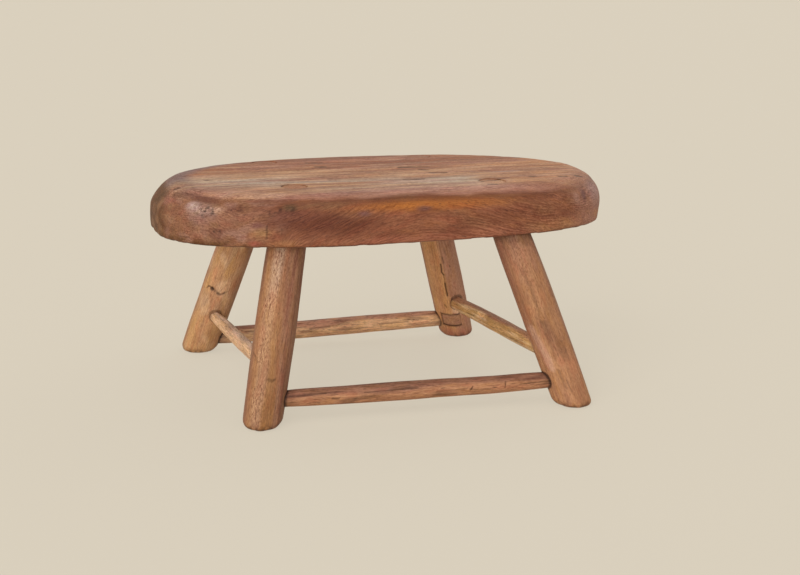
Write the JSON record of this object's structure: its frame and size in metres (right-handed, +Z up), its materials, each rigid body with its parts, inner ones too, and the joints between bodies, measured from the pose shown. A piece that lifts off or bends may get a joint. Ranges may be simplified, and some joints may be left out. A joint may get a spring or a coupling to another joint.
{
  "type": "bed stool",
  "caption": "Low wooden bed stool with a thick oval plank seat on splayed round legs, tenoned through the seat and tied by round stretchers.",
  "frame": {"origin": "on the floor, under the middle of the stool's bounding box", "axes": "+X along the seat to its right end, +Y to the back of the stool, +Z up"},
  "size_m": [0.472, 0.3181, 0.222],
  "materials": {
    "seat_wood": "old worn wood, reddish brown with a greyed top, satin",
    "leg_wood": "old worn wood, tan, satin",
    "stretcher_wood": "old worn wood, tan with dark grain, satin",
    "patch_wood": "old worn wood, brown, satin"
  },
  "bodies": {
    "root": {"seat": "seat_wood", "leg_front_left": "leg_wood", "leg_front_right": "leg_wood", "leg_back_left": "leg_wood", "leg_back_right": "leg_wood", "stretcher_front": "stretcher_wood", "stretcher_back": "stretcher_wood", "stretcher_left": "stretcher_wood", "stretcher_right": "stretcher_wood", "leg_patch": "patch_wood"}
  },
  "joints": []
}
